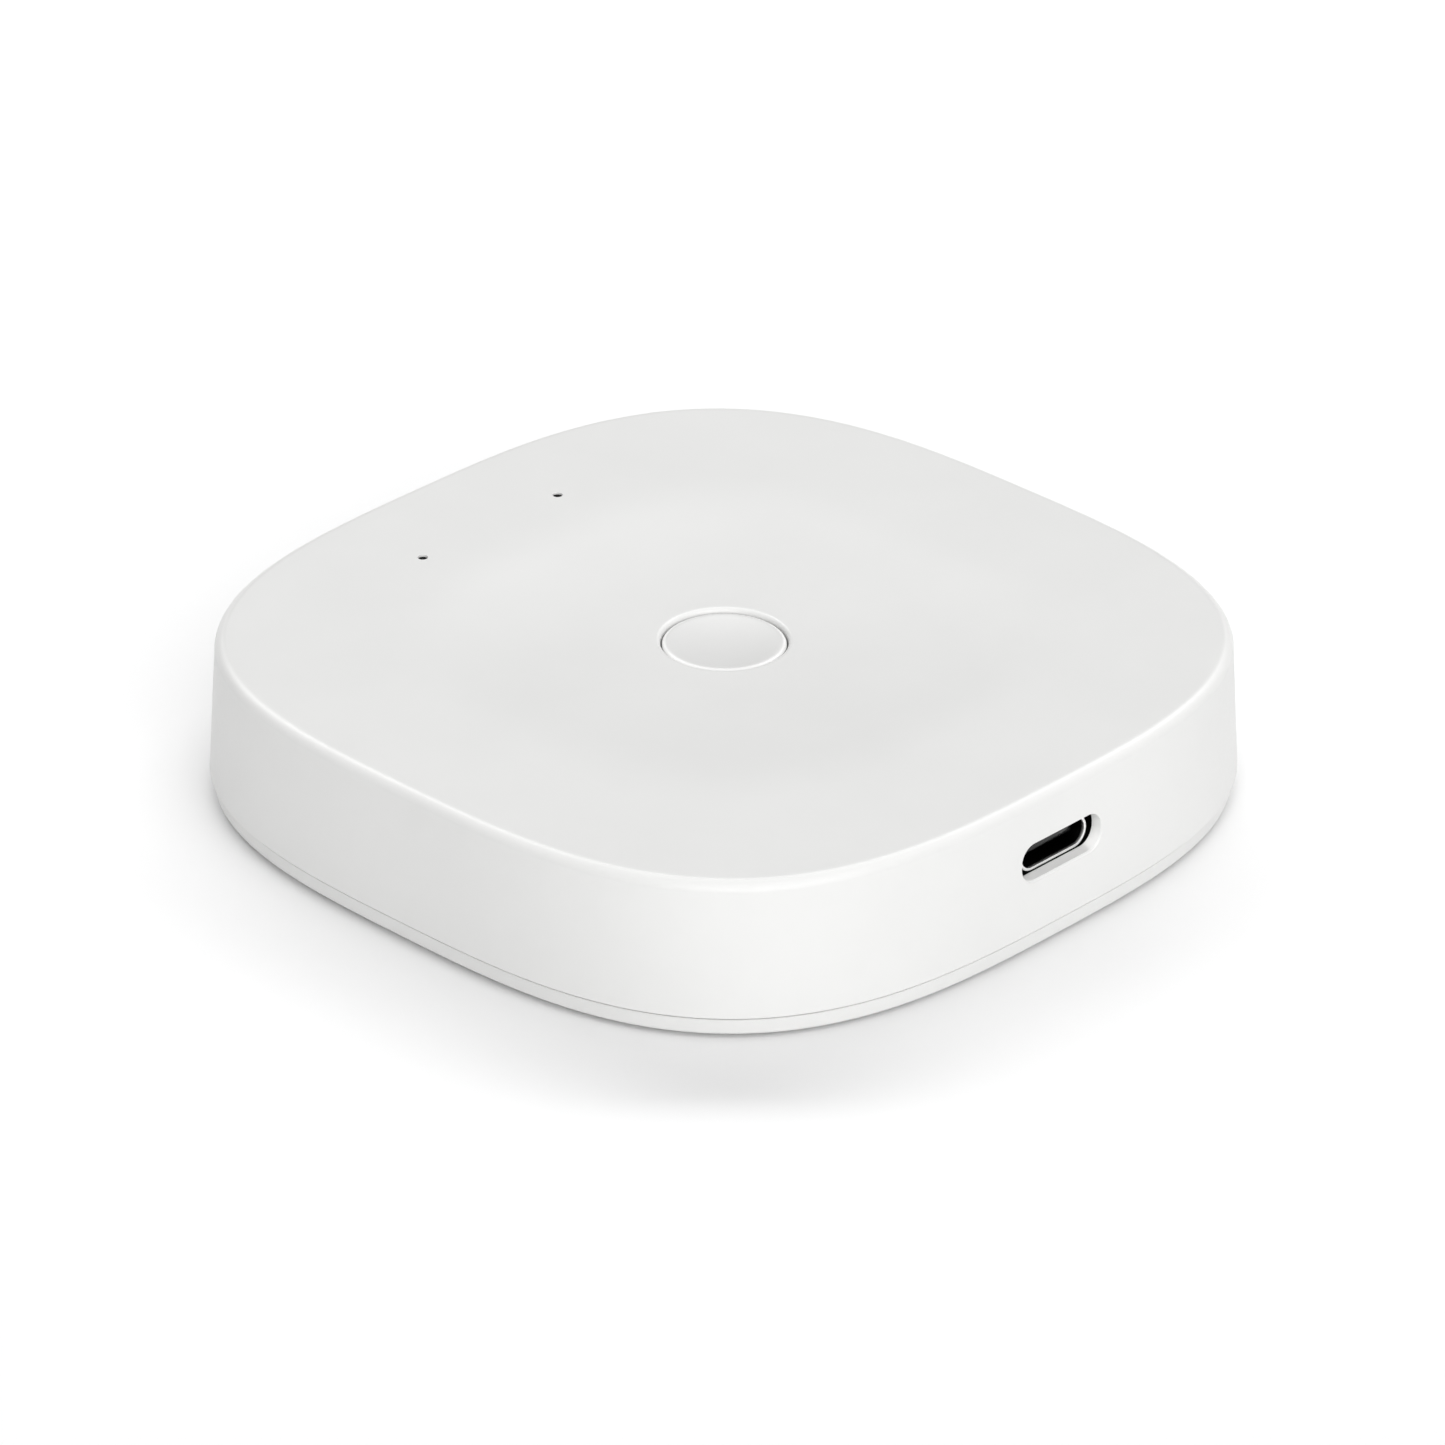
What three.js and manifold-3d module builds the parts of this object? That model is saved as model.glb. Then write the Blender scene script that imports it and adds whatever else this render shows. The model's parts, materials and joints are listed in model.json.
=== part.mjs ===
// Smart home hub: a rounded-square case with a push button, two indicator lights and a USB-C inlet.
// Millimetres, +Z up. The origin is the middle of the footprint, on the surface the feet stand on.
// The indicator lights are near the +Y edge (the front) and the inlet is in the -Y wall (the rear).
import * as THREE from 'three';
import { mergeVertices } from 'three/addons/utils/BufferGeometryUtils.js';
import Module from 'manifold-3d';

const wasm = await Module();
wasm.setup();

// ---- Driving dimensions: the case ----
const SIDE = 85; // across the flats, at the seam, where the case is widest
const CASE_HEIGHT = 15.25; // underside of the base to the top face
const OUTLINE_EXPONENT = 3.06; // of the superellipse |x|^n + |y|^n = r^n that every outline follows
const WALL = 1.6;
const TOP_PLATE = 1.8;
const FLOOR = 1.8;
const WALL_LEAN = 0.65; // how far the side wall leans in from the seam to the top edge
const TOP_EDGE_RADIUS = 1.06;
const SEAM_HEIGHT = 1.91; // seam above the underside
const SEAM_GAP = 0.2;
const BASE_STEP = 0.25; // how far the base stays inside the upper casing at the seam
const BASE_LEAN = 0.15;
const BASE_EDGE_RADIUS = 0.4;
const LIP_HEIGHT = 2.2; // locating lip of the base, above its floor
const LIP_THICKNESS = 1.2;
const LIP_CLEARANCE = 0.3;

// ---- Driving dimensions: dish and button ----
const DISH_HALF = 28.5; // where the dish meets the flat rim
const DISH_SHOULDER = 23; // where it is steepest
const DISH_FLAT = 7.4; // half size of the level middle
const DISH_DEPTH = 0.78;
const BUTTON_RADIUS = 5.81;
const BUTTON_GAP = 0.14;
const BUTTON_HOLE_FILLET = 0.45;
const BUTTON_SETBACK = 0.26; // button rim below the middle of the dish
const BUTTON_RIM_WIDTH = 0.6; // the rim rounds over more widely than it drops
const BUTTON_RIM_DROP = 0.35;
const BUTTON_HOLLOW = 0.3; // depth of its fingertip hollow
const BUTTON_SKIRT_RADIUS = 4.9; // inside of the cap, above its flange
const FLANGE_RADIUS = 6.85; // the flange keeps the button in its hole
const FLANGE_THICKNESS = 0.8;
const FLANGE_GAP = 0.1; // between the flange and the plate above it
const KEY_WIDTH = 1.2; // key on the flange that stops the button turning
const KEY_REACH = 7.9;
const COLLAR_INNER = 7.2; // collar of the upper casing around the flange
const COLLAR_OUTER = 8.4;
const COLLAR_HEIGHT = 1.7;

// ---- Driving dimensions: indicator lights and inlet ----
const LIGHT_SPACING = 18;
const LIGHT_Y = 30.7;
const LIGHT_HOLE_RADIUS = 0.48;
const GUIDE_TIP_RADIUS = 0.46;
const GUIDE_TIP_DEPTH = 0.2; // tip of the light guide below the top face
const GUIDE_PIN_X = 4.5; // pins of the upper casing that hold the light guide
const GUIDE_PIN_RADIUS = 0.8;
const GUIDE_PIN_LENGTH = 2.6;
const INLET_HEIGHT = 8.95; // middle of the inlet above the underside
const WINDOW_WIDTH = 10.6;
const WINDOW_HEIGHT = 3.65;
const WINDOW_CORNER = 1.65;
const WINDOW_RELIEF = { wall: 1.15, margin: 0.8, corner: 2.2 }; // the wall is thinned behind the window
const INLET_DEPTH = 1.05; // front of the receptacle behind the outer face of the wall

// ---- Driving dimensions: feet, label, screws and board ----
const FOOT_PROUD = 0.6;
const FOOT_RADIUS = 4.5;
const FOOT_EDGE = 0.35;
const FOOT_WELL_DEPTH = 1.0;
const FOOT_WELL_CLEARANCE = 0.3;
const LABEL_SIDE = 28;
const LABEL_CORNER = 2;
const LABEL_CLEARANCE = 0.3;
const LABEL_THICKNESS = 0.15;
const LABEL_RECESS = 0.25;
const CASE_SCREW_OFFSET = 27.5; // along x and along y; the feet cover these screws
const CASE_SCREW = { head: 2.1, headHeight: 1.5, shank: 0.9, length: 8 };
const CASE_SCREW_WELL = { radius: 2.5, depth: 1.7, hole: 1.4 }; // in the base, above the foot
const CASE_BOSS = { upper: 3.2, lower: 4.2, pilot: 1.1, pilotDepth: 6.5 };
const BOARD_HALF = 39.6;
const BOARD_THICKNESS = 1.6;
const BOARD_NOTCH = { radius: 8.9, offset: 31 }; // makes room for the case bosses
const BOARD_SCREW = { head: 1.8, headHeight: 1.2, shank: 0.75, length: 4.4 };
const BOARD_POST = { radius: 2.8, pilot: 0.95, hole: 1.2, floor: 0.6 };
const BOARD_SCREW_PLACES = [
  { name: 'front_left', x: -19, y: 31 },
  { name: 'front_right', x: 19, y: 31 },
  { name: 'rear_left', x: -15, y: -31 },
  { name: 'rear_right', x: 15, y: -31 },
];

// ---- Driving dimensions: bought parts ----
const SHELL_WIDTH = 8.94; // USB-C receptacle
const SHELL_HEIGHT = 3.2;
const SHELL_LENGTH = 7.35;
const CAVITY_WIDTH = 8.34;
const CAVITY_HEIGHT = 2.56;
const TONGUE_WIDTH = 6.69;
const TONGUE_THICKNESS = 0.7;
const TONGUE_SETBACK = 0.9;
const INSULATOR_LENGTH = 1.9;
const INSULATOR_CLEARANCE = 0.08;
const SHELL_LEG = { thickness: 0.35, depth: 1.1, slotClearance: 0.3 };
const SWITCH_SIZE = 6; // 6 mm square push switch, 4.3 mm high
const SWITCH_BASE_HEIGHT = 3.1;
const SWITCH_COVER_THICKNESS = 0.4;
const SWITCH_TOTAL_HEIGHT = 4.3;
const SWITCH_WELL_FLOOR = 1.3;
const SWITCH_WELL_RADIUS = 2.35;
const PLUNGER_RADIUS = 1.7;
const PLUNGER_FOOT_RADIUS = 2.1;
const DOME_RADIUS = 2.1;
const DOME_SHEET = 0.12;
const DOME_RISE = 0.5;

// ---- Levels and half sizes that follow ----
const HALF = SIDE / 2;
const UNDERSIDE = FOOT_PROUD;
const SEAM = UNDERSIDE + SEAM_HEIGHT;
const TOP = UNDERSIDE + CASE_HEIGHT;
const CEILING = TOP - TOP_PLATE;
const FLOOR_TOP = UNDERSIDE + FLOOR;
const FOOT_WELL_TOP = UNDERSIDE + FOOT_WELL_DEPTH;
const SCREW_SEAT = FOOT_WELL_TOP + CASE_SCREW_WELL.depth;
const INLET_Z = UNDERSIDE + INLET_HEIGHT;
const BOARD_TOP = INLET_Z - SHELL_HEIGHT / 2;
const BOARD_BOTTOM = BOARD_TOP - BOARD_THICKNESS;
const BOSS_MEET = BOARD_BOTTOM - 0.35; // where the bosses of the two casings meet
const SWITCH_TOP = BOARD_TOP + SWITCH_TOTAL_HEIGHT;
const DISH_FLOOR = TOP - dishDepth(DISH_FLAT);
const DISH_CEILING = DISH_FLOOR - TOP_PLATE;
const BUTTON_TOP = DISH_FLOOR - BUTTON_SETBACK;
const WALL_AT_INLET = HALF - WALL_LEAN * (INLET_Z - SEAM) / (TOP - TOP_EDGE_RADIUS - SEAM);
const RECEPTACLE_Y = -(WALL_AT_INLET - INLET_DEPTH); // front of the receptacle
const LIGHT_XS = [-LIGHT_SPACING / 2, LIGHT_SPACING / 2];

// The four corners, each with the place of its case screw and foot.
const CORNERS = [
  { name: 'front_left', x: -CASE_SCREW_OFFSET, y: CASE_SCREW_OFFSET },
  { name: 'front_right', x: CASE_SCREW_OFFSET, y: CASE_SCREW_OFFSET },
  { name: 'rear_left', x: -CASE_SCREW_OFFSET, y: -CASE_SCREW_OFFSET },
  { name: 'rear_right', x: CASE_SCREW_OFFSET, y: -CASE_SCREW_OFFSET },
];

// ---- Fineness of round faces, and small lengths used in cutting and joining ----
const OUTLINE_STEPS = 64;
const BUTTON_STEPS = 40;
const ROUND_STEPS = 20;
const SMALL_STEPS = 12;
const WELD = 1e-4;
const SINK = 0.5; // how far a boss runs into the plate it stands on
const PAST = 1; // how far a cutter runs past the face it opens

// ---- Materials ----
function plain(colour, roughness, metalness = 0) {
  return new THREE.MeshStandardMaterial({ color: colour, roughness, metalness });
}

const whitePlastic = plain(0xeeeeec, 0.42);
const blackPlastic = plain(0x17181a, 0.5);
const rubber = plain(0x3a3b3d, 0.85);
const smokedPlastic = plain(0x141416, 0.35);
const steel = plain(0xc9cbce, 0.28, 1);
const zincSteel = plain(0xa9adb3, 0.4, 1);
const boardBlack = plain(0x1c1e1d, 0.45);
const chipBlack = plain(0x1b1c1e, 0.55);
const ceramicTan = plain(0xb79468, 0.5);
const aluminium = plain(0xc4c7ca, 0.35, 0.9);
const ledWhite = plain(0xf2edd8, 0.3);
const labelWhite = plain(0xe4e4e2, 0.6);

// ---- Outline and profile helpers ----

// Radius of the unit superellipse in the direction of an angle.
function outlineScale(angle) {
  const c = Math.abs(Math.cos(angle)) ** OUTLINE_EXPONENT;
  const s = Math.abs(Math.sin(angle)) ** OUTLINE_EXPONENT;
  return (c + s) ** (-1 / OUTLINE_EXPONENT);
}

// Depth of the dish below the top face. The slope grows evenly to the shoulder, then dies out to the rim.
function dishDepth(half) {
  const bend = 2 * DISH_DEPTH / (DISH_SHOULDER * DISH_HALF);
  if (half >= DISH_HALF) {
    return 0;
  }
  if (half <= DISH_SHOULDER) {
    return DISH_DEPTH - bend * half ** 2 / 2;
  }
  return bend * DISH_SHOULDER * (DISH_HALF - half) ** 2 / (2 * (DISH_HALF - DISH_SHOULDER));
}

// Points of the dish at the given half sizes, lowered by a thickness.
function dishProfile(halves, lowering) {
  return halves.map((half) => [half, TOP - dishDepth(half) - lowering]);
}

// Points of a circular arc in a profile, from one angle to another, in degrees.
function arc(x, y, radius, from, to, steps) {
  return Array.from({ length: steps + 1 }, (_, i) => {
    const angle = THREE.MathUtils.degToRad(from + (to - from) * i / steps);
    return [x + radius * Math.cos(angle), y + radius * Math.sin(angle)];
  });
}

function roundedRectangle(width, height, corner) {
  const x = width / 2 - corner;
  const y = height / 2 - corner;
  const shape = new THREE.Shape();
  shape.absarc(x, -y, corner, -Math.PI / 2, 0);
  shape.absarc(x, y, corner, 0, Math.PI / 2);
  shape.absarc(-x, y, corner, Math.PI / 2, Math.PI);
  shape.absarc(-x, -y, corner, Math.PI, Math.PI * 1.5);
  return shape;
}

// A rounded rectangle whose ends are full rounds, but for a short flat that keeps its corners apart.
function stadium(width, height) {
  return roundedRectangle(width, height, height / 2 - 0.01);
}

// ---- Solids ----

// A closed three.js geometry as a solid that can be joined and cut.
function solid(geometry) {
  geometry.deleteAttribute('normal');
  geometry.deleteAttribute('uv');
  const welded = mergeVertices(geometry, WELD);
  const corners = Array.from(welded.index.array);
  const kept = [];
  for (let i = 0; i < corners.length; i += 3) {
    const [a, b, c] = corners.slice(i, i + 3);
    if (a !== b && b !== c && c !== a) {
      kept.push(a, b, c);
    }
  }
  return new wasm.Manifold(new wasm.Mesh({
    numProp: 3,
    vertProperties: new Float32Array(welded.attributes.position.array),
    triVerts: new Uint32Array(kept),
  }));
}

// A profile of [radius, height] points, from the bottom of the axis to its top, turned about Z.
function turnedGeometry(profile, steps) {
  const points = profile.map(([radius, height]) => new THREE.Vector2(radius, height));
  return new THREE.LatheGeometry(points, steps).rotateX(Math.PI / 2);
}

function turned(profile, steps, x = 0, y = 0) {
  return solid(turnedGeometry(profile, steps).translate(x, y, 0));
}

// The same, but the radius is a half size: every level is a superellipse instead of a circle.
function squircle(profile) {
  const geometry = turnedGeometry(profile, OUTLINE_STEPS);
  const place = geometry.attributes.position;
  for (let i = 0; i < place.count; i += 1) {
    const scale = outlineScale(Math.atan2(place.getY(i), place.getX(i)));
    place.setXY(i, place.getX(i) * scale, place.getY(i) * scale);
  }
  return solid(geometry);
}

function cylinder(radius, bottom, top, steps, x = 0, y = 0) {
  return turned([[0, bottom], [radius, bottom], [radius, top], [0, top]], steps, x, y);
}

// A box from its size, the middle of its footprint and its bottom.
function box(width, depth, height, x, y, bottom) {
  return solid(new THREE.BoxGeometry(width, depth, height).translate(x, y, bottom + height / 2));
}

// A flat outline raised along Z from a level.
function raised(shape, height, x, y, bottom, curveSegments = 4) {
  const settings = { depth: height, bevelEnabled: false, curveSegments };
  return solid(new THREE.ExtrudeGeometry(shape, settings).translate(x, y, bottom));
}

// An upright outline run along Y, from a front at y to y + length, with its middle at height z.
function runBack(shape, length, y, z, curveSegments = 4) {
  const settings = { depth: length, bevelEnabled: false, curveSegments };
  const geometry = new THREE.ExtrudeGeometry(shape, settings).rotateX(Math.PI / 2);
  return solid(geometry.translate(0, y + length, z));
}

function joined(pieces) {
  return pieces.reduce((whole, piece) => whole.add(piece));
}

// ---- Assembly ----
const hub = new THREE.Group();

function part(name, body, material) {
  const { vertProperties, triVerts } = body.getMesh();
  const indexed = new THREE.BufferGeometry();
  indexed.setAttribute('position', new THREE.Float32BufferAttribute(vertProperties, 3));
  indexed.setIndex(new THREE.Uint32BufferAttribute(triVerts, 1));
  const geometry = indexed.toNonIndexed();
  geometry.computeVertexNormals();
  const mesh = new THREE.Mesh(geometry, material);
  mesh.name = name;
  hub.add(mesh);
  return mesh;
}

// ---- Upper casing ----
function upperOutside() {
  const edge = HALF - WALL_LEAN - TOP_EDGE_RADIUS;
  const third = (DISH_HALF - DISH_SHOULDER) / 3;
  const halves = [DISH_HALF, DISH_HALF - third, DISH_SHOULDER + third, DISH_SHOULDER, 18, 12.6, DISH_FLAT];
  return squircle([
    [0, SEAM],
    [HALF, SEAM],
    ...arc(edge, TOP - TOP_EDGE_RADIUS, TOP_EDGE_RADIUS, 0, 90, 4),
    ...dishProfile(halves, 0),
    [0, DISH_FLOOR],
  ]);
}

function upperCavity() {
  const half = HALF - WALL;
  const corner = 1.2;
  return squircle([
    [0, SEAM - PAST],
    [half, SEAM - PAST],
    [half - WALL_LEAN, CEILING - corner],
    [half - WALL_LEAN - corner, CEILING],
    ...dishProfile([DISH_HALF, DISH_SHOULDER, 15, DISH_FLAT], TOP_PLATE),
    [0, DISH_CEILING],
  ]);
}

// The hole for the button, with a filleted upper edge.
function buttonHole() {
  const radius = BUTTON_RADIUS + BUTTON_GAP;
  const flare = radius + BUTTON_HOLE_FILLET;
  return turned([
    [0, DISH_CEILING - PAST],
    [radius, DISH_CEILING - PAST],
    ...arc(flare, DISH_FLOOR - BUTTON_HOLE_FILLET, BUTTON_HOLE_FILLET, 180, 90, 4),
    [flare, TOP + PAST],
    [0, TOP + PAST],
  ], BUTTON_STEPS);
}

// A ring under the plate that guides the flange, with a slot for its key.
function buttonCollar() {
  const bottom = DISH_CEILING - COLLAR_HEIGHT;
  const ring = cylinder(COLLAR_OUTER, bottom, DISH_CEILING + SINK, BUTTON_STEPS);
  const bore = cylinder(COLLAR_INNER, bottom - PAST, DISH_CEILING, BUTTON_STEPS);
  const slotDepth = COLLAR_OUTER - COLLAR_INNER + PAST;
  const slotY = -(COLLAR_INNER + COLLAR_OUTER) / 2;
  const slot = box(KEY_WIDTH + 0.7, slotDepth, COLLAR_HEIGHT + PAST, 0, slotY, bottom - PAST);
  return ring.subtract(bore).subtract(slot);
}

function upperBosses() {
  const bosses = CORNERS.map(
    ({ x, y }) => cylinder(CASE_BOSS.upper, BOSS_MEET, CEILING + SINK, ROUND_STEPS, x, y),
  );
  const pins = [-GUIDE_PIN_X, GUIDE_PIN_X].map(
    (x) => cylinder(GUIDE_PIN_RADIUS, CEILING - GUIDE_PIN_LENGTH, CEILING + SINK, SMALL_STEPS, x, LIGHT_Y),
  );
  return joined([...bosses, ...pins]);
}

function upperCuts() {
  const pilotTop = BOSS_MEET + CASE_BOSS.pilotDepth;
  const pilots = CORNERS.map(
    ({ x, y }) => cylinder(CASE_BOSS.pilot, BOSS_MEET - PAST, pilotTop, SMALL_STEPS, x, y),
  );
  const lights = LIGHT_XS.map(
    (x) => cylinder(LIGHT_HOLE_RADIUS, CEILING - PAST, TOP + PAST, SMALL_STEPS, x, LIGHT_Y),
  );
  const outline = roundedRectangle(WINDOW_WIDTH, WINDOW_HEIGHT, WINDOW_CORNER);
  const window = runBack(outline, WALL + 4 * PAST, -HALF - 2 * PAST, INLET_Z);
  const { wall, margin, corner } = WINDOW_RELIEF;
  const reliefOutline = roundedRectangle(WINDOW_WIDTH + 2 * margin, WINDOW_HEIGHT + 2 * margin, corner);
  const relief = runBack(reliefOutline, WALL, wall - WALL_AT_INLET, INLET_Z);
  return joined([...pilots, ...lights, window, relief]);
}

const upperCasing = upperOutside()
  .subtract(upperCavity())
  .add(buttonCollar())
  .subtract(buttonHole())
  .add(upperBosses())
  .subtract(upperCuts());
part('top_shell', upperCasing, whitePlastic);

// ---- Base ----
function basePlate() {
  const bottom = HALF - BASE_STEP - BASE_LEAN;
  const lip = HALF - WALL - LIP_CLEARANCE;
  return squircle([
    [0, UNDERSIDE],
    ...arc(bottom - BASE_EDGE_RADIUS, UNDERSIDE + BASE_EDGE_RADIUS, BASE_EDGE_RADIUS, -90, 0, 3),
    [HALF - BASE_STEP, SEAM - SEAM_GAP],
    [lip, SEAM - SEAM_GAP],
    [lip, FLOOR_TOP + LIP_HEIGHT],
    [lip - LIP_THICKNESS, FLOOR_TOP + LIP_HEIGHT],
    [lip - LIP_THICKNESS, FLOOR_TOP],
    [0, FLOOR_TOP],
  ]);
}

function basePosts() {
  const bosses = CORNERS.map(
    ({ x, y }) => cylinder(CASE_BOSS.lower, FLOOR_TOP - SINK, BOSS_MEET, ROUND_STEPS, x, y),
  );
  const posts = BOARD_SCREW_PLACES.map(
    ({ x, y }) => cylinder(BOARD_POST.radius, FLOOR_TOP - SINK, BOARD_BOTTOM, SMALL_STEPS, x, y),
  );
  return joined([...bosses, ...posts]);
}

// Stepped holes for the feet and the case screws, pilot holes for the board screws, and the label recess.
function baseCuts() {
  const stepped = CORNERS.map(({ x, y }) => turned([
    [0, 0],
    [FOOT_RADIUS + FOOT_WELL_CLEARANCE, 0],
    [FOOT_RADIUS + FOOT_WELL_CLEARANCE, FOOT_WELL_TOP],
    [CASE_SCREW_WELL.radius, FOOT_WELL_TOP],
    [CASE_SCREW_WELL.radius, SCREW_SEAT],
    [CASE_SCREW_WELL.hole, SCREW_SEAT],
    [CASE_SCREW_WELL.hole, BOSS_MEET + PAST],
    [0, BOSS_MEET + PAST],
  ], ROUND_STEPS, x, y));
  const pilotBottom = FLOOR_TOP + BOARD_POST.floor;
  const pilots = BOARD_SCREW_PLACES.map(
    ({ x, y }) => cylinder(BOARD_POST.pilot, pilotBottom, BOARD_BOTTOM + PAST, SMALL_STEPS, x, y),
  );
  const recessSide = LABEL_SIDE + 2 * LABEL_CLEARANCE;
  const recess = roundedRectangle(recessSide, recessSide, LABEL_CORNER + LABEL_CLEARANCE);
  return joined([...stepped, ...pilots, raised(recess, UNDERSIDE + LABEL_RECESS, 0, 0, 0)]);
}

part('base_shell', basePlate().add(basePosts()).subtract(baseCuts()), whitePlastic);

function label() {
  const outline = roundedRectangle(LABEL_SIDE, LABEL_SIDE, LABEL_CORNER);
  return raised(outline, LABEL_THICKNESS, 0, 0, UNDERSIDE + LABEL_RECESS - LABEL_THICKNESS);
}

part('rating_label', label(), labelWhite);

// ---- Feet ----
function foot(x, y) {
  return turned([
    [0, 0],
    [FOOT_RADIUS - FOOT_EDGE, 0],
    [FOOT_RADIUS, FOOT_EDGE],
    [FOOT_RADIUS, FOOT_WELL_TOP],
    [0, FOOT_WELL_TOP],
  ], ROUND_STEPS, x, y);
}

CORNERS.forEach(({ name, x, y }) => part(`foot_${name}`, foot(x, y), rubber));

// ---- Screws ----

// A cross-head screw that bears at height 0, with its head above and its shank below.
function screw({ head, headHeight, shank, length }) {
  const edge = headHeight * 0.3;
  const body = turned([
    [0, -length],
    [shank * 0.4, -length],
    [shank, shank - length],
    [shank, 0],
    [head, 0],
    [head, headHeight - edge],
    [head - edge, headHeight],
    [0, headHeight],
  ], SMALL_STEPS);
  const slotLength = head * 1.1;
  const slotBottom = headHeight * 0.45;
  const slotWidth = head * 0.24;
  const across = box(slotLength, slotWidth, headHeight, 0, 0, slotBottom);
  const along = box(slotWidth, slotLength, headHeight, 0, 0, slotBottom);
  return body.subtract(across).subtract(along);
}

// The case screws go up from below, so they are turned over.
CORNERS.forEach(({ name, x, y }) => {
  const mesh = part(`case_screw_${name}`, screw(CASE_SCREW), zincSteel);
  mesh.rotation.x = Math.PI;
  mesh.position.set(x, y, SCREW_SEAT);
});

BOARD_SCREW_PLACES.forEach(({ name, x, y }) => {
  const mesh = part(`board_screw_${name}`, screw(BOARD_SCREW), zincSteel);
  mesh.position.set(x, y, BOARD_TOP);
});

// ---- Button ----

// A cup with a fingertip hollow on top, a flange at its foot and a stem that rests on the switch.
function buttonCap() {
  const rimFlat = BUTTON_RADIUS - BUTTON_RIM_WIDTH;
  const flangeTop = DISH_CEILING - FLANGE_GAP;
  const flangeBottom = flangeTop - FLANGE_THICKNESS;
  const hollow = [0.67, 0.33, 0].map(
    (part) => [rimFlat * part, BUTTON_TOP - BUTTON_HOLLOW * (1 - part ** 2)],
  );
  const rim = arc(0, 0, 1, 0, 90, 3).map(
    ([out, up]) => [rimFlat + BUTTON_RIM_WIDTH * out, BUTTON_TOP - BUTTON_RIM_DROP * (1 - up)],
  );
  const cap = turned([
    [0, SWITCH_TOP],
    [PLUNGER_RADIUS, SWITCH_TOP],
    [PLUNGER_RADIUS + 0.2, flangeTop],
    [BUTTON_SKIRT_RADIUS, flangeTop],
    [BUTTON_SKIRT_RADIUS, flangeBottom],
    [FLANGE_RADIUS, flangeBottom],
    [FLANGE_RADIUS, flangeTop],
    [BUTTON_RADIUS, flangeTop],
    ...rim,
    ...hollow,
  ], BUTTON_STEPS);
  const keyInner = FLANGE_RADIUS - PAST;
  const keyY = -(keyInner + KEY_REACH) / 2;
  return cap.add(box(KEY_WIDTH, KEY_REACH - keyInner, FLANGE_THICKNESS, 0, keyY, flangeBottom));
}

part('button_cap', buttonCap(), whitePlastic);

// ---- Push switch under the button ----
const WELL_FLOOR = BOARD_TOP + SWITCH_WELL_FLOOR;
const COVER_BOTTOM = BOARD_TOP + SWITCH_BASE_HEIGHT;

function switchBase() {
  const block = box(SWITCH_SIZE, SWITCH_SIZE, SWITCH_BASE_HEIGHT, 0, 0, BOARD_TOP);
  return block.subtract(cylinder(SWITCH_WELL_RADIUS, WELL_FLOOR, COVER_BOTTOM + PAST, ROUND_STEPS));
}

function switchCover() {
  const plate = box(SWITCH_SIZE, SWITCH_SIZE, SWITCH_COVER_THICKNESS, 0, 0, COVER_BOTTOM);
  const hole = cylinder(PLUNGER_RADIUS + 0.2, COVER_BOTTOM - PAST, COVER_BOTTOM + PAST, ROUND_STEPS);
  return plate.subtract(hole);
}

// The plunger's wide foot stays under the cover plate.
function switchPlunger() {
  const shoulder = COVER_BOTTOM - 0.05;
  const bottom = WELL_FLOOR + 0.8;
  return turned([
    [0, bottom],
    [PLUNGER_FOOT_RADIUS, bottom],
    [PLUNGER_FOOT_RADIUS, shoulder],
    [PLUNGER_RADIUS, shoulder],
    [PLUNGER_RADIUS, SWITCH_TOP],
    [0, SWITCH_TOP],
  ], ROUND_STEPS);
}

// The snap dome: a thin bowed disc that gives the click and pushes the plunger back.
function switchDome() {
  const edge = WELL_FLOOR + 0.02;
  const middle = DOME_RADIUS / 2;
  const shoulder = edge + DOME_RISE * 0.75;
  return turned([
    [0, edge + DOME_RISE],
    [middle, shoulder],
    [DOME_RADIUS, edge],
    [DOME_RADIUS, edge + DOME_SHEET],
    [middle, shoulder + DOME_SHEET],
    [0, edge + DOME_RISE + DOME_SHEET],
  ], SMALL_STEPS);
}

part('switch_base', switchBase(), blackPlastic);
part('switch_cover', switchCover(), steel);
part('switch_plunger', switchPlunger(), blackPlastic);
part('switch_dome', switchDome(), steel);

// ---- USB-C receptacle ----
const LEG_X = (SHELL_WIDTH - SHELL_LEG.thickness) / 2;
const LEG_PLACES = [3.3, 6.3].flatMap(
  (back) => [-LEG_X, LEG_X].map((x) => ({ x, y: RECEPTACLE_Y + back })),
);

function receptacleShell() {
  const tube = runBack(stadium(SHELL_WIDTH, SHELL_HEIGHT), SHELL_LENGTH, RECEPTACLE_Y, INLET_Z);
  const cavityLength = SHELL_LENGTH + 2 * PAST;
  const cavity = runBack(stadium(CAVITY_WIDTH, CAVITY_HEIGHT), cavityLength, RECEPTACLE_Y - PAST, INLET_Z);
  const legBottom = BOARD_BOTTOM + 0.2;
  const legs = LEG_PLACES.map(
    ({ x, y }) => box(SHELL_LEG.thickness, SHELL_LEG.depth, INLET_Z - legBottom, x, y, legBottom),
  );
  return joined([tube, ...legs]).subtract(cavity);
}

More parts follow.
